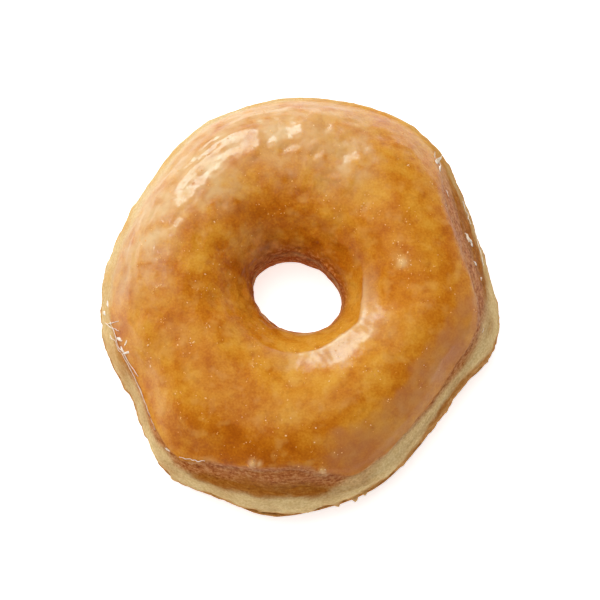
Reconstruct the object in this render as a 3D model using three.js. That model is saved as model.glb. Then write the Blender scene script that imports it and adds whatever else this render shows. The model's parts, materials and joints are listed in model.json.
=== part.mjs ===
// Ring doughnut: one ring of yeast dough, proved, fried and coated with sugar glaze.
//
// Millimetres, +Z up. The ring lies on its flat underside at z = 0, and the origin is under
// the middle of the glazed outline. Angles are counted from +X towards +Y.

import * as THREE from 'three';

// Driving dimensions
const HEIGHT = 31;              // flat underside to the highest point of the glazed top
const GLAZE_THICKNESS = 0.6;
const GLAZE_GAP = 0.3;          // between the dough and the inner skin of the glaze
const HOLE_LONG_RADIUS = 10.2;  // the hole is a slightly squashed circle at its waist
const HOLE_SHORT_RADIUS = 8.2;
const HOLE_TURN = -24;          // degrees, direction of its long radius
const CROWN_SWELL = 0.025;      // how much the crown rises and falls along the ring
const TURN_STEPS = 60;
const SECTION_STEPS = 30;

// The glaze starts low on the wall of the hole, goes up and over, and ends low on the outer
// side. Rows are steps along the section, counted from the middle of the underside.
const GLAZE_OUTER_ROW = 5.45;
const GLAZE_INNER_ROW = 25.55;
const GLAZE_EDGE_WAVE = 0.4;    // rows by which its lower edges rise and fall

// The widest outline of the glazed ring: angle in degrees and distance from the middle of the
// hole. It swells at the corners where the ring was let down into the oil by hand.
const OUTLINE = [
  [20, 44.6], [52, 49.8], [85, 49.2], [116, 48], [139, 44.6], [165, 44.4],
  [184, 45.6], [201, 45.2], [211, 44.2], [233, 50.4], [251, 49.5], [263, 50.6],
  [291, 47.7], [313, 43.7], [331, 42.8], [349, 47.4],
];

// The section through one side of the ring, from the middle of the underside outwards and
// over: 0 at the hole and 1 at the outline across, 0 at the underside and 1 at the crown up.
const SECTION = [
  [0.51, 0], [0.73, 0], [0.87, 0.035], [0.95, 0.12], [0.99, 0.24], [1, 0.36], [0.985, 0.5],
  [0.94, 0.64], [0.885, 0.75], [0.8, 0.87], [0.67, 0.96], [0.5, 1], [0.34, 0.975],
  [0.19, 0.88], [0.085, 0.74], [0.015, 0.57], [0, 0.42], [0.03, 0.24], [0.1, 0.1],
  [0.18, 0.025], [0.29, 0],
];

const smoothLoop = (points) => {
  const corners = points.map(([x, y]) => new THREE.Vector3(x, y, 0));
  return new THREE.CatmullRomCurve3(corners, true, 'centripetal');
};

// Distance from the middle of the hole to the outline, in the direction of an angle.
function outlineRadii() {
  const rim = OUTLINE.map(([degrees, radius]) => {
    const angle = THREE.MathUtils.degToRad(degrees);
    return [radius * Math.cos(angle), radius * Math.sin(angle)];
  });
  const points = smoothLoop(rim).getSpacedPoints(TURN_STEPS * 20);
  return (angle) => {
    const away = (p) => Math.cos(Math.atan2(p.y, p.x) - angle);
    const nearest = points.reduce((best, p) => (away(p) > away(best) ? p : best));
    return Math.hypot(nearest.x, nearest.y);
  };
}

function holeRadius(angle) {
  const turned = angle - THREE.MathUtils.degToRad(HOLE_TURN);
  const along = Math.cos(turned) / HOLE_LONG_RADIUS;
  const across = Math.sin(turned) / HOLE_SHORT_RADIUS;
  return 1 / Math.hypot(along, across);
}

const crownHeight = (angle) => {
  const swell = 0.6 * Math.sin(2 * angle + 0.8) + 0.4 * Math.sin(3 * angle - 1);
  return HEIGHT * (1 - CROWN_SWELL * 0.5 * (1 - swell));
};

const sectionShape = smoothLoop(SECTION).getSpacedPoints(SECTION_STEPS).slice(0, SECTION_STEPS);
const outlineRadius = outlineRadii();

// The glazed surface at one angle, as radius and height, moved inwards by a depth.
function sectionAt(angle, depth) {
  const inner = holeRadius(angle);
  const width = outlineRadius(angle) - inner;
  const height = crownHeight(angle);
  const outside = sectionShape.map(({ x, y }) => {
    return new THREE.Vector2(inner + x * width, Math.max(y, 0) * height);
  });
  return outside.map((point, i) => {
    const before = outside[(i + SECTION_STEPS - 1) % SECTION_STEPS];
    const after = outside[(i + 1) % SECTION_STEPS];
    const along = after.clone().sub(before).normalize();
    const rests = point.y < 0.05;
    const outward = new THREE.Vector2(along.y, rests ? 0 : -along.x);
    return point.clone().addScaledVector(outward, -depth);
  });
}

// A closed ring through one closed loop of (radius, height) points at each angle.
function ringGeometry(loopAt) {
  const loops = [];
  for (let i = 0; i < TURN_STEPS; i += 1) {
    loops.push(loopAt((2 * Math.PI * i) / TURN_STEPS));
  }
  const rows = loops[0].length;
  const positions = loops.flatMap((loop, i) => {
    const angle = (2 * Math.PI * i) / TURN_STEPS;
    return loop.flatMap(({ x, y }) => [x * Math.cos(angle), x * Math.sin(angle), y]);
  });
  const faces = [];
  for (let i = 0; i < TURN_STEPS; i += 1) {
    const next = (i + 1) % TURN_STEPS;
    for (let j = 0; j < rows; j += 1) {
      const up = (j + 1) % rows;
      const [a, b] = [i * rows + j, next * rows + j];
      const [c, d] = [next * rows + up, i * rows + up];
      faces.push(a, b, c, a, c, d);
    }
  }
  const geometry = new THREE.BufferGeometry();
  geometry.setAttribute('position', new THREE.Float32BufferAttribute(positions, 3));
  geometry.setIndex(faces);
  geometry.computeVertexNormals();
  return geometry;
}

const doughGeometry = () => {
  return ringGeometry((angle) => sectionAt(angle, GLAZE_THICKNESS + GLAZE_GAP));
};

// One skin of the glaze, from its outer lower edge up and over to its edge in the hole.
function glazeSkin(angle, depth) {
  const loop = sectionAt(angle, depth);
  const wave = Math.sin(5 * angle) * 0.6 + Math.sin(9 * angle + 1) * 0.4;
  const first = GLAZE_OUTER_ROW + GLAZE_EDGE_WAVE * wave;
  const last = GLAZE_INNER_ROW + GLAZE_EDGE_WAVE * wave;
  const between = (row) => {
    const below = Math.floor(row);
    return loop[below].clone().lerp(loop[below + 1], row - below);
  };
  const skin = [between(first)];
  for (let row = Math.ceil(GLAZE_OUTER_ROW); row < GLAZE_INNER_ROW; row += 1) {
    skin.push(loop[row]);
  }
  skin.push(between(last));
  return skin;
}

const glazeGeometry = () => {
  return ringGeometry((angle) => {
    const outerSkin = glazeSkin(angle, 0);
    const innerSkin = glazeSkin(angle, GLAZE_THICKNESS);
    return [...outerSkin, ...innerSkin.reverse()];
  });
};

const friedCrust = new THREE.MeshStandardMaterial({ color: 0xb87430, roughness: 0.7, metalness: 0 });
friedCrust.name = 'fried_crust';
const sugarGlaze = new THREE.MeshStandardMaterial({ color: 0xd08a3a, roughness: 0.2, metalness: 0 });
sugarGlaze.name = 'sugar_glaze';

const dough = new THREE.Mesh(doughGeometry(), friedCrust);
dough.name = 'dough';
const glaze = new THREE.Mesh(glazeGeometry(), sugarGlaze);
glaze.name = 'glaze';

// The ring is drawn about the middle of its hole, and then moved so that the origin is under
// the middle of its whole outline.
const doughnut = new THREE.Group();
doughnut.add(dough, glaze);
const middle = new THREE.Box3().setFromObject(doughnut).getCenter(new THREE.Vector3());
doughnut.position.set(-middle.x, -middle.y, 0);

export default doughnut;
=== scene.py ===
import json
import math

import bmesh
import bpy
import numpy as np
from mathutils import Matrix, Quaternion, Vector, bvhtree, noise


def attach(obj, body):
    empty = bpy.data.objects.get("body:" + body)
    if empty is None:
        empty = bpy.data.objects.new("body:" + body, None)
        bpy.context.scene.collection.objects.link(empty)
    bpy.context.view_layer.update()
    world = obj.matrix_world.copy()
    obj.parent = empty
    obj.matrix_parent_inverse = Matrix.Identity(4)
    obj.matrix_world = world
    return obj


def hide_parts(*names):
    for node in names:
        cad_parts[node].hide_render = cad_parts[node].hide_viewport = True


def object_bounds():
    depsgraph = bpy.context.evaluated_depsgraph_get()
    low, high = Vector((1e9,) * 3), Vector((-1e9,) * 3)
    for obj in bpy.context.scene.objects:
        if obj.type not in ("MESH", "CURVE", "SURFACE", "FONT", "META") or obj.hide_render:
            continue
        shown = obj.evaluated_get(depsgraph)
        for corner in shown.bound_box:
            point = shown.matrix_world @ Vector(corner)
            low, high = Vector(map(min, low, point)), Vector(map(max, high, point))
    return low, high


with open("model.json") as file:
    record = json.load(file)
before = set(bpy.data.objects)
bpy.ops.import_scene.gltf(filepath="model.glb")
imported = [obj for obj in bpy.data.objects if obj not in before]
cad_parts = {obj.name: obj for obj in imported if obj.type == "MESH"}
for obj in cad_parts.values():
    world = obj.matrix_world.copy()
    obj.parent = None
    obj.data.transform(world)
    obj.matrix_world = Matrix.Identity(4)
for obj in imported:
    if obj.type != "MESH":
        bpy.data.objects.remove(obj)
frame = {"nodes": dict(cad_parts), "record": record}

cad_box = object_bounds()


# ---------------------------------------------------------------------------------------
# Dough. One ring of yeast dough, proved and fried on both sides: brown crust above and
# below, and a pale ring round the waist where it floated clear of the oil. It shows below
# the glaze and underneath, where the crust is matt and finely wrinkled.

MM = 0.001


def merged_copy(node, name):
    """A copy of a CAD node's mesh with its corners joined and its triangles paired."""
    mesh = frame["nodes"][node].data.copy()
    bm = bmesh.new()
    bm.from_mesh(mesh)
    bmesh.ops.remove_doubles(bm, verts=bm.verts, dist=1e-3 * MM)
    wide = math.radians(70)
    bmesh.ops.join_triangles(
        bm, faces=bm.faces, angle_face_threshold=wide, angle_shape_threshold=wide
    )
    bm.to_mesh(mesh)
    bm.free()
    mesh.materials.clear()
    piece = bpy.data.objects.new(name, mesh)
    bpy.context.scene.collection.objects.link(piece)
    return piece


def apply_modifier(piece, kind, **settings):
    """Adds a modifier and keeps what it makes as the piece's mesh."""
    modifier = piece.modifiers.new(kind.lower(), kind)
    for setting, value in settings.items():
        setattr(modifier, setting, value)
    graph = bpy.context.evaluated_depsgraph_get()
    finished = bpy.data.meshes.new_from_object(piece.evaluated_get(graph))
    piece.modifiers.clear()
    piece.data = finished


def positions(piece):
    flat = np.empty(len(piece.data.vertices) * 3)
    piece.data.vertices.foreach_get("co", flat)
    return flat.reshape(-1, 3)


def normals(piece):
    flat = np.empty(len(piece.data.vertices) * 3)
    piece.data.vertices.foreach_get("normal", flat)
    return flat.reshape(-1, 3)


def move_to(piece, places):
    piece.data.vertices.foreach_set("co", places.ravel())
    piece.data.update()


def keep_inside(piece):
    """Holds a finished piece inside the CAD model's box."""
    low, high = (np.array(corner) for corner in cad_box)
    move_to(piece, np.clip(positions(piece), low, high))


def smooth_shade(piece):
    piece.data.polygons.foreach_set("use_smooth", [True] * len(piece.data.polygons))


opening = frame["record"]["physics"]["openings"][0]["box_m"]
HOLE_AXIS = np.array([(opening[0][i] + opening[1][i]) / 2 for i in range(2)])


def round_the_ring(places):
    """Angle round the hole, distance from its axis and height, in millimetres."""
    away = (places[:, :2] - HOLE_AXIS) / MM
    angle = np.arctan2(away[:, 1], away[:, 0])
    return angle, np.hypot(away[:, 0], away[:, 1]), places[:, 2] / MM


def reach_of(node):
    """How near the hole's axis and how far from it a node comes, at each angle."""
    places = np.array([v.co for v in frame["nodes"][node].data.vertices])
    angle, reach, _ = round_the_ring(places)
    steps = np.linspace(-math.pi, math.pi, 61)
    near, far = [], []
    for step in steps:
        beside = np.cos(angle - step) > math.cos(math.radians(4))
        near.append(reach[beside].min())
        far.append(reach[beside].max())
    return steps, np.array(near), np.array(far)


RING_STEPS, RING_NEAR, RING_FAR = reach_of("glaze")


def across_the_ring(angle, reach):
    """0 at the hole's wall and 1 at the outline, at each point's own angle."""
    near = np.interp(angle, RING_STEPS, RING_NEAR)
    far = np.interp(angle, RING_STEPS, RING_FAR)
    return (reach - near) / (far - near)


def rough(places, size, octaves=2, seed=0, stretch=(1, 1, 1)):
    """Noise from about -1 to 1 whose lumps are size millimetres wide."""
    shift = Vector((seed * 7.31, seed * 3.77, seed * 5.19))
    scaled = places / (size * MM * np.array(stretch))
    return np.array([
        noise.fractal(Vector(p) + shift, 1.0, 2.0, octaves) for p in scaled
    ])


def bump(value, middle, width):
    """1 at the middle and falling smoothly to nothing about two widths away."""
    return np.exp(-((value - middle) / width) ** 2)


def ramp(value, low, high):
    t = np.clip((value - low) / (high - low), 0, 1)
    return t * t * (3 - 2 * t)


def hex_to_linear(code):
    channels = [int(code[i:i + 2], 16) / 255 for i in (1, 3, 5)]
    linear = [c / 12.92 if c <= 0.04045 else ((c + 0.055) / 1.055) ** 2.4 for c in channels]
    return (*linear, 1)


def add_node(owner, kind, inputs=(), output=0, stops=(), **settings):
    """Adds a node to a material or world and returns one of its outputs. Each input is a value,
    a colour code or another node's output, and stops are the colours of a colour ramp."""
    tree = owner.node_tree
    node = tree.nodes.new(kind)
    for setting, value in settings.items():
        setattr(node, setting, value)
    for socket, value in dict(inputs).items():
        if isinstance(value, bpy.types.NodeSocket):
            tree.links.new(value, node.inputs[socket])
        elif isinstance(value, str):
            node.inputs[socket].default_value = hex_to_linear(value)
        else:
            node.inputs[socket].default_value = value
    for i, (place, code) in enumerate(stops):
        elements = node.color_ramp.elements
        element = elements[i] if i < 2 else elements.new(place)
        element.position = place
        element.color = hex_to_linear(code)
    return node.outputs[output]


def new_material(name):
    material = bpy.data.materials.new(name)
    material.use_nodes = True
    return material, material.node_tree.nodes["Principled BSDF"]


def crust_colour(material, where):
    """Fried crust: gold where it is thin, amber, and burnt orange where it blistered."""
    clouds = add_node(material, "ShaderNodeTexNoise", {
        "Vector": where, "Scale": 1 / (8 * MM), "Detail": 1,
    })
    blotches = add_node(material, "ShaderNodeTexNoise", {
        "Vector": where, "Scale": 1 / (3.2 * MM), "Detail": 1,
    })
    grain = add_node(material, "ShaderNodeTexNoise", {
        "Vector": where, "Scale": 1 / (0.5 * MM), "Detail": 2,
    })
    tone = add_node(material, "ShaderNodeMix", {0: 0.5, 2: clouds, 3: blotches})
    tone = add_node(material, "ShaderNodeMix", {0: 0.32, 2: tone, 3: grain})
    # Darker where the crust fried darker, and where shade is painted in.
    baked = add_node(material, "ShaderNodeAttribute", output="Fac", attribute_name="bake_and_shade")
    level = add_node(material, "ShaderNodeMath", {0: tone, 1: baked}, operation="SUBTRACT")
    crust = add_node(material, "ShaderNodeValToRGB", {"Fac": level}, stops=[
        (0.24, "#A85409"), (0.36, "#BD690F"), (0.45, "#C97919"), (0.54, "#D48C27"), (0.68, "#DFA03B"),
    ])
    blisters = add_node(material, "ShaderNodeTexNoise", {
        "Vector": where, "Scale": 1 / (2.4 * MM), "Detail": 2, "Roughness": 0.6,
    })
    burnt = add_node(material, "ShaderNodeMapRange", {0: blisters, 1: 0.56, 2: 0.74, 3: 0, 4: 0.4})
    puffs = add_node(material, "ShaderNodeTexNoise", {
        "Vector": where, "Scale": 1 / (3.4 * MM), "Detail": 2,
    })
    cloudy = add_node(material, "ShaderNodeMapRange", {0: puffs, 1: 0.54, 2: 0.7, 3: 0, 4: 0.45})
    specks = add_node(material, "ShaderNodeAttribute", output="Fac", attribute_name="scorch")
    scorched = add_node(material, "ShaderNodeMath", {0: specks, 1: 0.5}, operation="MULTIPLY")
    for share, over in [(burnt, "#AC570C"), (cloudy, "#DDA04C"), (scorched, "#A84E0A")]:
        inputs = {0: share, 6: crust, 7: over}
        crust = add_node(material, "ShaderNodeMix", inputs, output=2, data_type="RGBA")
    return crust


def lower_crust_colour(material, where, crust):
    """The crust low on the side and underneath: matt brown, paler where it is wrinkled."""
    speckle = add_node(material, "ShaderNodeTexNoise", {
        "Vector": where, "Scale": 1 / (1.1 * MM), "Detail": 3, "Roughness": 0.6,
    })
    brown = add_node(material, "ShaderNodeValToRGB", {"Fac": speckle}, stops=[
        (0.30, "#986636"), (0.50, "#B6824A"), (0.70, "#D0A46A"),
    ])
    inputs = {0: 0.2, 6: brown, 7: crust}
    return add_node(material, "ShaderNodeMix", inputs, output=2, data_type="RGBA")


# Where the crust fried darker (more than 0) or stayed golden (less than 0), with painted shade
# also laid in: darker on the far slope of the hole and along the front edge, which face away from the
# lamps. x and y in millimetres, how wide, and how much.
BAKE_AND_SHADE_MARKS = [
    (-9, 30, 3, 0.10), (-9, 24, 4, 0.08), (-15, 16, 6, 0.10), (-3, 15, 9, 0.12), (-19, 11, 5, 0.06),
    (11, 8, 4, 0.14), (-35, 5, 5, 0.05), (-16, 1, 7, 0.08), (25, 13, 5, 0.06), (19, 6, 4, 0.10),
    (24, 2, 4, 0.08), (36, 5, 6, 0.05), (-27, -16, 4, 0.10), (-16, -20, 5, 0.12), (-23, -15, 4, 0.06),
    (-18, -34, 6, 0.13), (-6, -40, 8, 0.2), (-25, -37, 7, 0.08), (33, -8, 4, 0.16), (29, -13, 5, 0.14),
    (25, -24, 6, 0.07), (7, -27, 3, 0.10), (12, -36, 5, 0.10), (3, -41, 6, 0.2), (-40, -5, 5, 0.05),
    (-13, 26, 4, -0.10), (18, 24, 7, -0.07), (6, 19, 5, -0.06), (-22, -23, 6, -0.08),
    (19, -20, 8, -0.12), (13, -28, 7, -0.08), (-28, 8, 4, -0.06), (-5, -24, 7, -0.05),
    (-12, -37, 5, 0.18), (22, -1, 8, 0.07), (34, 12, 6, 0.10), (31, -1, 5, 0.06), (-28, -17, 4, -0.10),
    (-36, -6, 5, 0.10), (19, -26, 4, 0.12), (-15, -40, 4, 0.12), (2, -24, 4, -0.14), (2, -30, 4, -0.10),
    (8, -24.5, 3, -0.10), (38, -16, 4, -0.08), (-24, 0, 4, 0.05), (-30, 5, 4, 0.06),
]


def bake_and_shade_of(places):
    """How much darker than usual the crust is at each point: where it fried darker, and painted shade on
    slopes that face away from the lamps and down in the hole.
    """
    flat = places[:, :2] / MM
    drift = np.stack([rough(places, 5, 2, 21), rough(places, 5, 2, 22)], 1) * 2.2
    total = np.zeros(len(places))
    for x, y, width, amount in BAKE_AND_SHADE_MARKS:
        distance = np.hypot(*(flat + drift - (x, y)).T)
        total += amount * np.exp(-((distance / width) ** 2))
    angle, reach, height = round_the_ring(places)
    # Painted shade: the crust is a little darker down in the hole.
    in_the_hole = 0.04 * (1 - ramp(across_the_ring(angle, reach), 0.04, 0.22))
    return in_the_hole + 0.6 * total * ramp(height, 16, 22)


def lower_crust_of(places):
    """How far the ragged crust under the pale waist stands out, in millimetres."""
    angle, reach, height = round_the_ring(places)
    ragged = 0.1 + 0.6 * rough(places, 3.2, 4, 9) + 0.6 * rough(places, 9, 1, 15)
    return ramp(across_the_ring(angle, reach), 0.72, 0.86) * bump(height, 10, 4.5) * ragged


def store(piece, name, values):
    """Keeps a number or a vector for each vertex, for the material to read."""
    kind, field = ("FLOAT", "value") if values.ndim == 1 else ("FLOAT_VECTOR", "vector")
    layer = piece.data.attributes.new(name, kind, "POINT")
    layer.data.foreach_set(field, values.astype(np.float32).ravel())


dough = merged_copy("dough", "dough_ring")
apply_modifier(dough, "SUBSURF", levels=2, render_levels=2)
smooth_dough = bvhtree.BVHTree.FromPolygons(
    [v.co for v in dough.data.vertices], [p.vertices for p in dough.data.polygons]
)
places = positions(dough)
_, _, height = round_the_ring(places)
# Soft lumps all over it, a little slack under the edge of the glaze, and a flat underside.
lift = 0.25 * rough(places, 9, 2, 1) + 0.12 * rough(places, 2.5, 2, 2)
lift = lift * ramp(height, 0.3, 3) + 0.3 - 0.65 * ramp(height, 7, 10) + lower_crust_of(places)
move_to(dough, places + normals(dough) * (lift * MM * ramp(height, 0.05, 1.0))[:, None])
keep_inside(dough)
smooth_shade(dough)
places = positions(dough)
store(dough, "bake_and_shade", bake_and_shade_of(places))
# Painted shade: the crust darkens towards the bottom, to hold back the light thrown up by the white
# floor.
store(dough, "painted_shade_below", 0.6 * (1 - ramp(places[:, 2] / MM, 3, 9)))

# Fried crust is dry and matt, tan with dark specks where it is wrinkled, and painted darker brown towards
# the bottom as shade.
material, shader = new_material("fried_crust")
where = add_node(material, "ShaderNodeTexCoord", output="Object")
crust = crust_colour(material, where)
colour = lower_crust_colour(material, where, crust)
painted_shade_below = add_node(material, "ShaderNodeAttribute", output="Fac", attribute_name="painted_shade_below")
inputs = {0: painted_shade_below, 6: colour, 7: "#7C5230"}
colour = add_node(material, "ShaderNodeMix", inputs, output=2, data_type="RGBA")
material.node_tree.links.new(colour, shader.inputs["Base Color"])
shader.inputs["Roughness"].default_value = 0.6
shader.inputs["Specular IOR Level"].default_value = 0.1
dough.data.materials.append(material)

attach(dough, "root")
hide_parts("dough")


# ---------------------------------------------------------------------------------------
# Glaze. Sugar glaze poured over the warm ring and set: a thin clear coat over the crust,
# thick enough at the shoulder to stand in a ridge, and ending in a ragged edge.

glaze = merged_copy("glaze", "glaze_coat")
apply_modifier(glaze, "SUBSURF", levels=3, render_levels=3)


def skin_of(places):
    """1 on the glaze's outer skin and 0 on the hidden skin against the dough."""
    gap = np.array([smooth_dough.find_nearest(Vector(p))[3] for p in places])
    return ramp(gap / MM, 0.35, 0.8)


# The skin that lies hidden against the dough needs only a coarse mesh.
hidden = glaze.vertex_groups.new(name="hidden_skin")
hidden.add(np.nonzero(skin_of(positions(glaze)) < 0.05)[0].tolist(), 1, "REPLACE")
apply_modifier(glaze, "DECIMATE", ratio=0.57, vertex_group="hidden_skin")
glaze.vertex_groups.clear()

STRETCH = 2.8  # how much longer than wide the folds and runs are


def flow_of(places, around):
    """A place in which noise is drawn out STRETCH times along a ring around millimetres wide."""
    angle, reach, height = round_the_ring(places)
    radius = around / STRETCH
    return MM * np.stack([radius * np.cos(angle), radius * np.sin(angle), height - reach], 1)


def near_angle(angle, degrees, low, high):
    """1 on the part of the ring near an angle and 0 away from it, by the cosine between them."""
    return ramp(np.cos(angle - math.radians(degrees)), low, high)


def away_from(places, x, y):
    """How far each point is from x and y in millimetres, as seen from above."""
    return np.hypot(places[:, 0] / MM - x, places[:, 1] / MM - y)


places = positions(glaze)
angle, reach, height = round_the_ring(places)
across = across_the_ring(angle, reach)
outward = normals(glaze)
skin = skin_of(places)

# The glaze set in soft hollows, deepest at the back and calm near its edge. At the back left and
# the front right it ran, so they are drawn out along the ring, and bubbles left small pits.
outer_side = ramp(across, 0.72, 0.86)
inner_side = 1 - ramp(across, 0.1, 0.22)
lumps = 0.30 * rough(places, 15, 2, 3)
calm_edge = 1 - 0.7 * ramp(across, 0.78, 0.92)
lively = 0.4 + 0.6 * near_angle(angle, 130, -0.2, 0.8)
front_right = near_angle(angle, -50, 0.3, 0.7)
front_band = ramp(reach, 15, 19) * (1 - ramp(reach, 24, 29))
lively += front_right * (0.5 * front_band - 0.7 * (1 - ramp(reach, 13, 17)))
pools = 0.55 * rough(places, 6.5, 1, 4) + 0.26 * rough(places, 2.8, 2, 5)
runs = flow_of(places, 30)
runs = 0.26 * rough(runs, 4.2, 1, 60) + 0.17 * rough(runs, 1.7, 2, 61)
back_left = near_angle(angle, 140, 0.55, 0.9)
drawn = np.maximum(back_left, 0.8 * front_right)
hammered = calm_edge * lively * (pools + drawn * (runs - pools))
hammered += (0.025 + 0.045 * back_left) * calm_edge * rough(places, 0.9, 1, 41)
pits = ramp(rough(places, 1.2, 1, 63), 0.28, 0.5) * near_angle(angle, 120, 0.2, 0.6)
hammered -= 0.09 * calm_edge * pits

# Flats in the top where the soft ring settled, which catch the light: x and y in millimetres,
# the way each faces, its half length along the ring and half width, and how far it shines.
FLATS = [
    (-12.8, 32.6, (-0.22, 0.30, 0.93), 4.4, 4.4, 0.75), (-21, 27.7, (-0.25, 0.31, 0.92), 3.0, 1.5, 0.7),
    (-22.3, 23.4, (-0.26, 0.29, 0.92), 1.6, 1.4, 0.7), (-26.5, 19.6, (-0.27, 0.29, 0.92), 3.4, 1.3, 0.55),
    (-31, 15.4, (-0.29, 0.28, 0.92), 2.2, 1.2, 0.7), (-27.2, 13.6, (-0.26, 0.27, 0.93), 1.5, 1.3, 0.5),
    (11.9, 29, (-0.21, 0.32, 0.92), 3.0, 1.9, 0.65), (-1.6, 31.2, (-0.21, 0.32, 0.92), 2.6, 1.6, 0.5),
    (4.2, 29.2, (-0.21, 0.32, 0.92), 1.4, 1.6, 0.5), (7.8, 24.4, (-0.20, 0.30, 0.93), 1.8, 1.2, 0.5),
]
outline_wander = 1.1 * rough(places, 4, 3, 50)
dull_flats = np.zeros(len(places))
for x, y, facing, long, wide, shine in FLATS:
    facing = np.array(facing) / np.linalg.norm(facing)
    # Each flat turns about the nearest point of the top, and not one of the side or underside.
    away = away_from(places, x, y) + 100 * (height < 20)
    offset = (places - places[np.argmin(away)]) / MM
    out = offset @ facing
    turn = math.atan2(y, x)
    along = (offset[:, 1] * math.cos(turn) - offset[:, 0] * math.sin(turn)) / long
    outwards = (offset[:, 0] * math.cos(turn) + offset[:, 1] * math.sin(turn)) / wide
    apart = np.hypot(along, outwards) + outline_wander / math.sqrt(long * wide)
    inside = np.exp(-np.maximum(apart, 0) ** 6) * ramp(height, 20, 24)
    hammered = hammered * (1 - 0.6 * inside) - 0.7 * inside * out
    dull_flats = np.maximum(dull_flats, inside * (1 - shine))


def round_profile(angle, pairs):
    """A value along the ring, straight between its (degrees, value) pairs."""
    degrees, values = zip(*pairs)
    return np.interp(np.degrees(angle), degrees, values, period=360)


# The shoulder: the top stands out over the side and the glaze gathers along its edge in a
# thin broken ridge. Heights in millimetres above the table; there is no edge at the back.
SHOULDER = [
    (-175, 22), (-166, 22.6), (-159, 22), (-152, 20.4), (-143, 20), (-130, 20.4), (-123, 20),
    (-117, 22.4), (-107, 24), (-98, 25.8), (-89, 25.6), (-82, 23.4), (-74, 20.6), (-66, 21.4),
    (-48, 21.5), (-32, 20.8), (-19, 23), (-8, 25), (3, 26.2), (12, 26.8), (21, 27), (30, 26.6),
    (37, 25.2), (44, 22.6), (50, 19.5), (62, 21.5),
]
shoulder_height = round_profile(angle, SHOULDER) + 0.4 * rough(places, 5, 3, 6)
above = height - shoulder_height
shoulder_share = near_angle(angle, -60, -0.5, 0.1) * outer_side
overhang = 0.35 * bump(above, 1.2, 2.0)
hollow = -0.65 * bump(above, -2.8, 1.9)
thread = 0.30 * bump(above, 0, 0.45) * ramp(rough(places, 7, 2, 7), -0.1, 0.5)
shoulder = shoulder_share * (overhang + hollow + thread)

# The pale waist: its lower and upper edge in millimetres above the table, and how pale it
# is, at each angle.
WAIST_LOW = [
    (-160, 11.2), (-140, 10.7), (-122, 10.7), (-104, 10.6), (-92, 9.7), (-80, 9.7), (-66, 11.7),
    (-50, 13.4), (-38, 15.2), (-24, 13.6), (-11, 12.2), (5, 12.2), (27, 13.2), (90, 12.6), (150, 11.4),
]
WAIST_HIGH = [
    (-168, 20.2), (-158, 18.6), (-148, 17.6), (-138, 17.6), (-128, 17.8), (-120, 16.6), (-110, 16.6),
    (-104, 17.4), (-92, 18), (-82, 17), (-76, 19), (-66, 20), (-50, 20), (-38, 19), (-24, 18.3),
    (-11, 22), (5, 20), (27, 19), (75, 19), (100, 21.5), (125, 22.8), (155, 22.5), (180, 21.2),
]
WAIST_SHARE = [
    (-165, 0.9), (-120, 1.1), (-20, 1.1), (0, 0.9), (30, 0.6), (60, 0.5), (95, 1), (125, 1.1),
]


def waist_of(places):
    """1 on the pale waist and 0 off it, with a ragged edge."""
    angle, reach, height = round_the_ring(places)
    frayed = height + 0.9 * rough(places, 6, 3, 10)
    above_low = ramp(frayed - round_profile(angle, WAIST_LOW), -0.9, 1.3)
    below_high = ramp(round_profile(angle, WAIST_HIGH) - frayed, -0.9, 1.6)
    kept = round_profile(angle, WAIST_SHARE) * (0.85 + 0.5 * rough(places, 7, 2, 16))
    return above_low * below_high * np.clip(kept, 0, 1) * ramp(across_the_ring(angle, reach), 0.8, 0.88)


# Fine wrinkles run round the side below the shoulder.
flow = flow_of(places, 45)
wrinkles = 0.30 * rough(flow, 1.3, 3, 8) * (1 - 0.8 * waist_of(places))
side = outer_side * ramp(-above, -0.5, 1.5) * ramp(height, 10, 14) * wrinkles

# Short folds run round the wall of the hole.
on_the_wall = ramp(height, 13, 16) * (1 - ramp(height, 22, 25)) * (1 - 0.6 * front_right)
hole_flow = flow_of(places, 10)
folds = inner_side * on_the_wall * 0.4 * rough(hole_flow, 1.1, 2, 12)

# Beside the hole at the front the glaze ran down and stopped in a crisp low ridge: its
# distance from the hole's axis in millimetres, at each angle.
RUN_EDGE = [(-108, 16.7), (-90, 16.6), (-71, 16.3), (-52, 15.6), (-35, 16.7), (-18, 15.2), (-3, 14.8)]
past_edge = reach - round_profile(angle, RUN_EDGE)
run_share = near_angle(angle, -52, 0.35, 0.62)
lip = run_share * (1 - ramp(past_edge, -0.3, 0.25))
hammered += 0.3 * run_share * bump(past_edge, 0.3, 0.8)

# Specks where the crust blistered and scorched, crowded together at some spots.
rng = np.random.default_rng(11)


def crowded(count, size):
    """Random places on the top, in millimetres, in crowds about size millimetres apart."""
    found = []
    while len(found) < count:
        x, y = rng.uniform(-46, 46, 2)
        turn, away, _ = round_the_ring(np.array([[x, y, 0]]) * MM)
        crowd = noise.noise(Vector((x, y, 3)) / size) + 0.3 * noise.noise(Vector((x, y, 9)) / 1.6)
        if 0.1 < across_the_ring(turn, away)[0] < 0.85 and crowd > rng.uniform(-0.3, 0.5):
            found.append((x, y))
    return found


SPECKS = [(x, y, rng.uniform(0.4, 0.9)) for x, y in crowded(130, 6)]
scorch = np.zeros(len(places))
for x, y, width in SPECKS:
    distance = away_from(places, x, y)
    scorch = np.maximum(scorch, np.exp(-(distance / width) ** 2))
scorch *= ramp(height, 20, 23) * np.clip(0.6 + rough(places, 1.1, 2, 51), 0, 1)
hammered -= 0.1 * scorch

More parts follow.
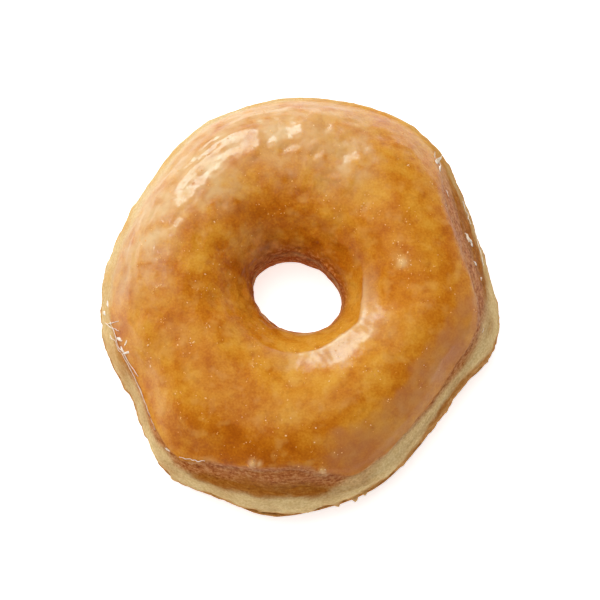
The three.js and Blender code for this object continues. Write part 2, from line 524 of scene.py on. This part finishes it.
# Lumps of sugar on the top and at the front edge: x, y, width and height in millimetres.
SUGAR_LUMPS = [(23, 4, 1.1, 0.2), (-10.5, -41, 0.8, 0.6), (-9, -41.2, 0.5, 0.4), (5, -42.5, 0.6, 0.4)]
sugar = np.zeros(len(places))
for x, y, width, tall in SUGAR_LUMPS:
    distance = away_from(places, x, y)
    lump = np.exp(-(distance / width) ** 2) * ramp(height, 20, 22)
    sugar = np.maximum(sugar, lump)
    hammered += tall * lump * (1 + rough(places, 0.8, 2, 36))

# Spurs of dough on the lower crust: their angle in degrees, and height, width and length in
# millimetres.
SPURS = [
    (-79, 9, 0.8, 1.2), (-74, 9, 0.7, 1.8), (-71, 9.5, 0.5, 1.4), (-124, 10, 1.2, 0.9),
    (-18, 10, 1.0, 0.9),
]


def spurs_of(places):
    """How far the spurs stand out, in millimetres."""
    angle, reach, height = round_the_ring(places)
    total = np.zeros(len(places))
    for degrees, up, width, long in SPURS:
        apart = np.hypot(reach * (angle - math.radians(degrees)), height - up)
        total += long * np.exp(-(apart / width) ** 2)
    return total * ramp(across_the_ring(angle, reach), 0.72, 0.86)


# The coat thins to its lower edge, and the far wall of the hole leans back.
thinning = 0.85 * (1 - ramp(height, 6.5, 9.5))
leans_back = -0.6 * inner_side * near_angle(angle, 105, 0.3, 0.85) * bump(height, 12, 6)
lower_crust = lower_crust_of(places) + spurs_of(places)
lift = lumps + hammered + shoulder + side + folds + leans_back + lower_crust
lift = lift - 0.1 - 0.25 * outer_side - thinning
move_to(glaze, places + outward * (lift * skin * MM)[:, None])
keep_inside(glaze)
smooth_shade(glaze)

places = positions(glaze)
below_shoulder = shoulder_share * ramp(-above, -0.6, 0.8)
patchy = across + 0.07 * rough(places, 5, 2, 31)

# Pale colour painted over the glaze where it catches the light: a broad painted sheen at the back left,
# where the top faces the softbox's glow, a pinkish painted sheen over the front right shoulder, and a
# painted highlight in streaks on the slope beside the hole.
painted_sheen = ramp(patchy, 0.44, 0.7) * near_angle(angle, 130, 0.35, 0.85)
painted_sheen = painted_sheen * (0.6 + 0.6 * rough(places, 3.4, 3, 32)) * (1 - 0.85 * ramp(across, 0.84, 0.96))
# Brighter patches of painted sheen in it: x and y in millimetres, how wide, and how strong.
SHEEN_PATCHES = [
    (12, 28, 5, 0.7), (8, 23, 4, 0.3), (13, 35, 6, 0.35), (4, 30, 4, 0.3), (19.5, -12.5, 3, 0.25),
    (-17, 22, 5, 0.25), (-3, 26, 4, 0.25), (-20, 23, 6, 0.4), (-3, 30, 6, 0.25), (-30, 18, 5, 0.3),
    (-8.5, 8, 4, 0.55), (-20, 17.5, 3, 0.3), (-29, -14, 4, 0.15),
]
streaky = np.clip(0.75 + 0.8 * rough(places, 2.4, 3, 37), 0, 1.2)
for x, y, width, thick in SHEEN_PATCHES:
    distance = away_from(places, x, y)
    painted_sheen += thick * streaky * np.exp(-(distance / width) ** 2)
# Painted sheen: a pinkish pale patch over the front right shoulder, where the glaze reflects the bright
# surroundings.
painted_front_sheen = ramp(patchy, 0.66, 0.72) * near_angle(angle, -42, 0.72, 0.85) * (1 - below_shoulder)
painted_front_sheen = painted_front_sheen * (0.45 + 0.35 * rough(places, 4, 2, 33))
drawn_out = rough(flow_of(places, 18), 2.2, 2, 35)
# Painted highlight: a pale band along the low ridge beside the hole at the front, fading outwards in
# streaks, where the slope faces the softbox.
highlight_and_pale_glaze = 0.28 * (1 - ramp(past_edge + 3 * drawn_out, 2, 5.5)) + 0.3 * bump(past_edge, 0.3, 0.8)
highlight_and_pale_glaze *= run_share * ramp(past_edge, -0.1, 0.25) * (0.45 + 0.55 * near_angle(angle, -42, 0.6, 0.85))
run_out = run_share * ramp(past_edge + 2 * drawn_out, 3, 5.5) * (1 - ramp(reach, 26, 30))

# A line of thick pale glaze where the wall of the hole starts: its height in millimetres.
RIM_HEIGHT = [
    (-135, 18), (-90, 20), (-30, 17), (0, 15), (60, 15.5), (90, 17), (140, 15.5), (180, 14.5),
]
rim = 0.6 * inner_side * bump(height, round_profile(angle, RIM_HEIGHT), 0.9)
rim = rim * (1 - 0.5 * ramp(np.sin(angle), 0.2, 0.7)) * np.clip(0.7 + rough(hole_flow, 1.6, 2, 62), 0, 1)

# Painted light: the crust is lighter beside the hole at the front, on the slope that faces the lamps, and
# along the back of the outline, lit from behind.
gold = 0.14 * lip * ramp(height, 16, 20) + 0.1 * ramp(across, 0.84, 0.96) * ramp(np.sin(angle), 0, 0.6)

# The gloss is duller on the side, in the hole, over the run glaze and along the shoulder.
in_the_hole = inner_side * (1 - ramp(height, 24, 27))
dulled = (1 - 0.65 * below_shoulder) * (1 - 0.85 * ramp(across, 0.85, 0.97))
dulled = dulled * (1 - dull_flats * (1 + rough(places, 1.6, 3, 38)))
dulled = dulled * (1 - 0.7 * in_the_hole) * (1 - 0.85 * lip) * (1 - 0.7 * run_out)
dulled = dulled * (1 - 0.3 * run_share * bump(past_edge, 1.5, 2.5))
dulled = dulled * (1 - 0.5 * shoulder_share * bump(above, 0.6, 1.5))

spurs = spurs_of(places)
store(glaze, "scorch", scorch)
store(glaze, "bake_and_shade", bake_and_shade_of(places) - gold)
store(glaze, "waist", waist_of(places))
store(glaze, "side", below_shoulder)
store(glaze, "painted_sheen", np.clip(painted_sheen, 0, 0.95) * ramp(height, 16, 21))
# The pale layer holds the painted highlight beside the hole and the real pale glaze of the rim, lumps and
# spurs.
store(glaze, "highlight_and_pale_glaze", np.clip(highlight_and_pale_glaze + rim + 0.7 * sugar + 0.5 * spurs, 0, 1))
store(glaze, "bare", ramp(-above + rough(places, 6, 2, 17), 3.0, 4.5))
store(glaze, "painted_front_sheen", np.clip(painted_front_sheen, 0, 1))
# Painted shade: the wall of the hole is coloured darker brown low down.
store(glaze, "wall", inner_side * (1 - ramp(height, 17, 22)))
store(glaze, "lower", outer_side * (1 - ramp(height, 12, 15)))
store(glaze, "gloss", np.clip(ramp(height, 17.5, 22.5) * dulled, 0.03, 1))
store(glaze, "flow", np.where(across[:, None] > 0.5, flow, hole_flow))

# Sugar glaze is a clear glassy coat (IOR about 1.5) over the crust: sharp, broken
# highlights on the top, dulled on the side where it soaked into wrinkled crust. Its colour also carries
# painted sheen, highlight and shade.
material, shader = new_material("sugar_glaze_over_crust")
where = add_node(material, "ShaderNodeTexCoord", output="Object")
crust = crust_colour(material, where)
lower_crust = lower_crust_colour(material, where, crust)
flow_place = add_node(material, "ShaderNodeAttribute", output="Vector", attribute_name="flow")
streaks = add_node(material, "ShaderNodeTexNoise", {
    "Vector": flow_place, "Scale": 1 / (0.6 * MM), "Detail": 3, "Roughness": 0.6,
})
speckle = add_node(material, "ShaderNodeTexNoise", {
    "Vector": where, "Scale": 1 / (0.6 * MM), "Detail": 2, "Roughness": 0.6,
})
streaks = add_node(material, "ShaderNodeMix", {0: 0.45, 2: streaks, 3: speckle})
milky_side = add_node(material, "ShaderNodeValToRGB", {"Fac": streaks}, stops=[
    (0.36, "#803C12"), (0.46, "#AA6230"), (0.55, "#BE7C46"), (0.68, "#CE9A68"),
])
bare_side = add_node(material, "ShaderNodeValToRGB", {"Fac": streaks}, stops=[
    (0.35, "#8A4A12"), (0.50, "#A4601C"), (0.65, "#B87834"),
])
bare = add_node(material, "ShaderNodeAttribute", output="Fac", attribute_name="bare")
inputs = {0: bare, 6: milky_side, 7: bare_side}
wrinkled_side = add_node(material, "ShaderNodeMix", inputs, output=2, data_type="RGBA")
crumb = add_node(material, "ShaderNodeValToRGB", {"Fac": speckle}, stops=[
    (0.32, "#D0AA6E"), (0.68, "#E9CC96"),
])
# Painted shade: the wall of the hole, darker brown low down in the recess.
shaded_hole_wall = add_node(material, "ShaderNodeValToRGB", {"Fac": streaks}, stops=[
    (0.36, "#8E4410"), (0.50, "#B2601E"), (0.62, "#D8965C"),
])

# What lies over the crust, from below upwards: where it lies, and its colour. The pinkish layer at the
# start and the two pale layers at the end are painted sheen and highlight, and the layer on the hole's
# wall is painted shade.
LAYERS = [
    ("painted_front_sheen", "#BC7A4A"), ("side", wrinkled_side), ("lower", lower_crust), ("waist", crumb),
    ("wall", shaded_hole_wall), ("painted_sheen", "#DEB27A"), ("highlight_and_pale_glaze", "#EECA90"),
]
colour = crust
for name, over in LAYERS:
    share = add_node(material, "ShaderNodeAttribute", output="Fac", attribute_name=name)
    inputs = {0: share, 6: colour, 7: over}
    colour = add_node(material, "ShaderNodeMix", inputs, output=2, data_type="RGBA")
material.node_tree.links.new(colour, shader.inputs["Base Color"])
shader.inputs["Roughness"].default_value = 0.5
shader.inputs["Specular IOR Level"].default_value = 0
shader.inputs["IOR"].default_value = 1.5
gloss = add_node(material, "ShaderNodeAttribute", output="Fac", attribute_name="gloss")
gloss = add_node(material, "ShaderNodeMath", {0: gloss, 1: 0.85}, operation="MULTIPLY")
material.node_tree.links.new(gloss, shader.inputs["Coat Weight"])
shader.inputs["Coat Roughness"].default_value = 0.18
shader.inputs["Subsurface Weight"].default_value = 0.12
shader.inputs["Subsurface Radius"].default_value = (1.0, 0.6, 0.3)
shader.inputs["Subsurface Scale"].default_value = 1.5 * MM
grain = add_node(material, "ShaderNodeTexNoise", {
    "Vector": where, "Scale": 1 / (0.9 * MM), "Detail": 3,
})
side = add_node(material, "ShaderNodeAttribute", output="Fac", attribute_name="side")
surface = add_node(material, "ShaderNodeMix", {0: side, 2: grain, 3: streaks})
relief = add_node(material, "ShaderNodeBump", {
    "Height": surface, "Strength": 0.6, "Distance": 0.25 * MM,
})
material.node_tree.links.new(relief, shader.inputs["Normal"])
glaze.data.materials.append(material)

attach(glaze, "root")
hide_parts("glaze")


# ---------------------------------------------------------------------------------------
# Sugar crystals. Grains of sugar and burst bubbles that stand in the glaze where it set,
# a quarter of a millimetre across, and glint.

glaze_surface = bvhtree.BVHTree.FromPolygons(
    [v.co for v in glaze.data.vertices], [p.vertices for p in glaze.data.polygons]
)


def on_top(x, y):
    """The place on the glazed top at x and y in millimetres, and the way it faces."""
    place, facing, _, _ = glaze_surface.ray_cast(Vector((x, y, 60)) * MM, Vector((0, 0, -1)))
    return place, facing


def set_on(place, facing, sink, scale, twist):
    """A matrix that lays a shape on the surface, turned by twist and sunk by a share of itself."""
    turned = facing.to_track_quat("Z", "Y") @ Quaternion((0, 0, 1), twist)
    middle = place - facing * (sink * scale[2])
    return Matrix.LocRotScale(middle, turned, Vector(scale))


def piece_from(bm, name, material):
    """A new piece of one material from a finished bmesh."""
    mesh = bpy.data.meshes.new(name)
    bmesh.ops.recalc_face_normals(bm, faces=bm.faces)
    bm.to_mesh(mesh)
    bm.free()
    mesh.materials.append(material)
    piece = bpy.data.objects.new(name, mesh)
    bpy.context.scene.collection.objects.link(piece)
    return piece


# The grains take the amber of the glaze that wets them, and crowd where the crust blistered.
wet_sugar, shader = new_material("wet_sugar")
where = add_node(wet_sugar, "ShaderNodeTexCoord", output="Object")
clots = add_node(wet_sugar, "ShaderNodeTexNoise", {
    "Vector": where, "Scale": 1 / (1.5 * MM), "Detail": 1,
})
colour = add_node(wet_sugar, "ShaderNodeValToRGB", {"Fac": clots}, stops=[
    (0.35, "#DE9840"), (0.50, "#ECB462"), (0.65, "#F8D49C"),
])
wet_sugar.node_tree.links.new(colour, shader.inputs["Base Color"])
shader.inputs["Roughness"].default_value = 0.3
shader.inputs["Specular IOR Level"].default_value = 0.2

# Clots of larger grains: x and y in millimetres, how wide, and how many.
CLOTS = [
    (23, 4, 1.4, 34), (-30.6, -9.4, 0.4, 8), (-24.2, -14.6, 0.45, 12), (-20.8, -11.2, 0.4, 8),
    (-34.2, -14.2, 0.3, 6), (-32.8, -2.6, 0.3, 7), (-32, -1.6, 0.3, 7), (-10.5, -41, 0.6, 12),
    (5, -42.2, 0.5, 9), (-36, 10, 0.5, 8), (-27, -27, 0.7, 6), (17, -22, 0.5, 6),
]
grains = crowded(240, 5)
for x, y, width in SPECKS:
    grains += [(x + rng.normal(0, width), y + rng.normal(0, width)) for _ in range(rng.integers(1, 6))]
for x, y, width, count in CLOTS:
    grains += [(x + rng.normal(0, width), y + rng.normal(0, width)) for _ in range(count)]
bm = bmesh.new()
for x, y in grains:
    place, facing = on_top(x, y)
    # They keep to the top: none lies in the hole, low on the side or where it is steep.
    if place is None or place.z < 21 * MM or facing.z < 0.35:
        continue
    size = (0.07 + 0.13 * rng.uniform() ** 2) * MM
    scale = (size * rng.uniform(0.8, 1.6), size, size * rng.uniform(0.6, 1.2))
    shape = set_on(place, facing, 0.1, scale, rng.uniform(0, 6.28))
    bmesh.ops.create_icosphere(bm, subdivisions=1, radius=1, matrix=shape)
crystals = piece_from(bm, "sugar_crystals", wet_sugar)
keep_inside(crystals)
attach(crystals, "root")


# ---------------------------------------------------------------------------------------
# Flakes and strands. Dried glaze that cracked and lifted along the shoulder: thin curled
# sheets and threads, still stuck at one side.


def on_side(degrees, height):
    """The place on the outer side at an angle round the ring and a height, and the way it faces."""
    turn = math.radians(degrees)
    out = Vector((math.cos(turn), math.sin(turn), 0))
    start = Vector((*HOLE_AXIS, height * MM)) + out * 80 * MM
    place, facing, _, _ = glaze_surface.ray_cast(start, -out)
    return place, facing


# White sugar, dried through: it scatters light and takes some of the amber from below.
dried_sugar, shader = new_material("dried_sugar")
where = add_node(dried_sugar, "ShaderNodeTexCoord", output="Object")
clots = add_node(dried_sugar, "ShaderNodeTexNoise", {
    "Vector": where, "Scale": 1 / (0.8 * MM), "Detail": 2,
})
colour = add_node(dried_sugar, "ShaderNodeValToRGB", {"Fac": clots}, stops=[
    (0.35, "#E8CFAE"), (0.50, "#F4E4D0"), (0.65, "#FFF8EE"),
])
dried_sugar.node_tree.links.new(colour, shader.inputs["Base Color"])
shader.inputs["Roughness"].default_value = 0.3
shader.inputs["IOR"].default_value = 1.5

# Angle in degrees, height, length and width in millimetres, and twist from along the ring.
FLAKES = [
    (43, 22.6, 3.0, 1.1, -60), (40.5, 22.8, 1.8, 0.6, -35), (45, 21.6, 1.3, 0.5, -20),
    (33, 23.4, 1.8, 0.4, 15), (17, 22.0, 2.0, 1.7, 40), (15, 21.4, 1.2, 0.8, 10),
    (8, 22.2, 1.1, 0.6, 30), (3, 21.5, 1.0, 0.8, 60), (-163, 22.0, 1.9, 1.1, 40),
    (-160, 21.2, 1.6, 0.8, 10), (-158, 22.6, 2.4, 0.5, 75), (-161, 23.4, 1.8, 0.4, 120),
    (-174, 17.0, 1.3, 1.0, 60), (-176, 19.0, 1.6, 0.6, 20), (-128, 19.3, 1.0, 0.7, 10),
]
UP = Vector((0, 0, 1))
bm = bmesh.new()
for degrees, height, long, wide, twist in FLAKES:
    place, facing = on_side(degrees, height)
    scale = (long / 2 * MM, wide / 2 * MM, 0.4 * MM)
    # The sheets have sagged outwards, so they lie between flat on the side and level.
    sagged = (facing * 0.6 + UP * 0.8).normalized()
    lie = set_on(place, sagged, 0, scale, math.radians(twist))
    grid = bmesh.ops.create_grid(bm, x_segments=6, y_segments=3, size=1)
    curl = rng.uniform(0.1, 0.8)
    lean = rng.uniform(-0.5, 0.5)
    for vert in grid["verts"]:
        x, y, _ = vert.co
        lifted = curl * (x + 0.3) ** 2 + 0.3 * rng.uniform(-1, 1) * wide
        pinch = 1 - 0.75 * x * x + 0.25 * rng.uniform(-1, 1)
        torn = x + lean * y + 0.15 * rng.uniform(-1, 1)
        vert.co = lie @ Vector((torn, y * pinch, lifted))
flakes = piece_from(bm, "glaze_flakes", dried_sugar)

# Strands along the shoulder: where they start and end in degrees, the two heights, and width.
STRANDS = [
    (-170, -150, 20.0, 21.4, 0.11), (-159, -140, 20.2, 18.8, 0.12), (-147, -131, 19.4, 18.2, 0.10),
    (-124, -117, 20.6, 22.2, 0.11), (-171, -165.5, 17.0, 22.5, 0.14), (-170, -168.5, 18.5, 23.0, 0.11),
    (-166.5, -158.7, 18.6, 19.8, 0.12), (46, 37, 20.0, 21.6, 0.2), (30, 22, 17.5, 18.5, 0.12),
    (20, 8, 17.0, 19.0, 0.12), (-6, -14, 22.0, 20.5, 0.11),
]
bm = bmesh.new()
for start, end, low, high, wide in STRANDS:
    grid = bmesh.ops.create_grid(bm, x_segments=24, y_segments=1, size=1)
    for vert in grid["verts"]:
        x, y, _ = vert.co
        share = (x + 1) / 2
        wander = 0.5 * noise.noise(Vector((share * 6, start, 0)))
        place, facing = on_side(start + (end - start) * share, low + (high - low) * share + wander)
        loose = 0.12 + 0.25 * noise.noise(Vector((share * 4, end, 5)))
        vert.co = place + (facing * loose + UP * y * wide / 2 + facing * y * wide / 2) * MM
strands = piece_from(bm, "glaze_strands", dried_sugar)
for piece in (flakes, strands):
    apply_modifier(piece, "SOLIDIFY", thickness=0.12 * MM, offset=0)
    keep_inside(piece)
    smooth_shade(piece)
    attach(piece, "root")


# ---------------------------------------------------------------------------------------
# Stage. A plain white table between white walls, a softbox with a wide glow behind and to
# the left, and a white card above that fills the shadows.

floor_mesh = bpy.data.meshes.new("floor")
bm = bmesh.new()
bmesh.ops.create_grid(bm, x_segments=1, y_segments=1, size=20)
bm.to_mesh(floor_mesh)
bm.free()
floor = bpy.data.objects.new("floor", floor_mesh)
bpy.context.scene.collection.objects.link(floor)
# White laminate: matt, and lit enough by itself that the table stays plain and pale.
material, shader = new_material("white_laminate")
shader.inputs["Base Color"].default_value = (0.9, 0.9, 0.9, 1)
shader.inputs["Roughness"].default_value = 0.9
shader.inputs["Specular IOR Level"].default_value = 0
shader.inputs["Emission Color"].default_value = (1, 1, 1, 1)
shader.inputs["Emission Strength"].default_value = 0.72
floor.data.materials.append(material)

world = bpy.data.worlds.new("white_walls")
world.use_nodes = True
background = world.node_tree.nodes["Background"]
background.inputs["Color"].default_value = (1, 1, 1, 1)
direction = add_node(world, "ShaderNodeTexCoord", output="Generated")
upward = add_node(world, "ShaderNodeSeparateXYZ", {0: direction}, output="Z")
fade = add_node(world, "ShaderNodeMapRange", {0: upward, 1: 0.15, 2: 0.6, 3: 1, 4: 0.07})
inputs = {0: direction, 1: (-0.5, 0.85, 0)}
window = add_node(world, "ShaderNodeVectorMath", inputs, output="Value", operation="DOT_PRODUCT")
wall = add_node(world, "ShaderNodeMapRange", {0: window, 1: -0.4, 2: 0.6, 3: 0.35, 4: 0.75})
strength = add_node(world, "ShaderNodeMath", {0: fade, 1: wall}, operation="MULTIPLY")
world.node_tree.links.new(strength, background.inputs["Strength"])
bpy.context.scene.world = world

target = Vector((0, 0, 15.5 * MM))


def aim(thing, place, at):
    thing.location = place
    thing.rotation_euler = (at - place).to_track_quat("-Z", "Y").to_euler()


def area_lamp(name, colour, width, height, watts, towards, distance):
    """A soft rectangular lamp that faces the doughnut from a distance in metres."""
    light = bpy.data.lights.new(name, "AREA")
    light.shape = "RECTANGLE"
    light.size = width
    light.size_y = height
    light.energy = watts
    light.color = colour
    lamp = bpy.data.objects.new(name, light)
    bpy.context.scene.collection.objects.link(lamp)
    aim(lamp, target + distance * Vector(towards).normalized(), target)
    return lamp


# The softbox and its glow make cool highlights, and the bounce card the soft even light.
COOL = (0.62, 0.92, 1)
WHITE = (1, 1, 1)
softbox = area_lamp("softbox", COOL, 0.32, 0.34, 3.1, (-0.34, 0.74, 0.46), 0.7)
softbox.visible_diffuse = False
glow = area_lamp("softbox_glow", COOL, 0.9, 0.7, 3.4, (-0.4, 0.7, 0.55), 0.8)
glow.visible_diffuse = False
bounce = area_lamp("bounce_card", WHITE, 0.9, 0.9, 9.9, (-0.2, 0.2, 0.95), 0.9)
bounce.visible_glossy = False

# The camera looks down from high in front, through a long lens.
camera_data = bpy.data.cameras.new("camera")
CAMERA_DISTANCE = 0.8
FIELD_WIDTH = 0.137  # how much the camera takes in, at the doughnut
camera_data.sensor_width = 36
camera_data.lens = camera_data.sensor_width * CAMERA_DISTANCE / FIELD_WIDTH
camera_data.clip_end = 50
camera = bpy.data.objects.new("camera", camera_data)
bpy.context.scene.collection.objects.link(camera)
tilt = math.radians(74)
look_at = target - Vector((0, 0.46 * MM, 0))
back_and_up = Vector((0, -math.cos(tilt), math.sin(tilt)))
aim(camera, look_at + CAMERA_DISTANCE * back_and_up, look_at)
bpy.context.scene.camera = camera
bpy.context.scene.view_settings.view_transform = "Standard"
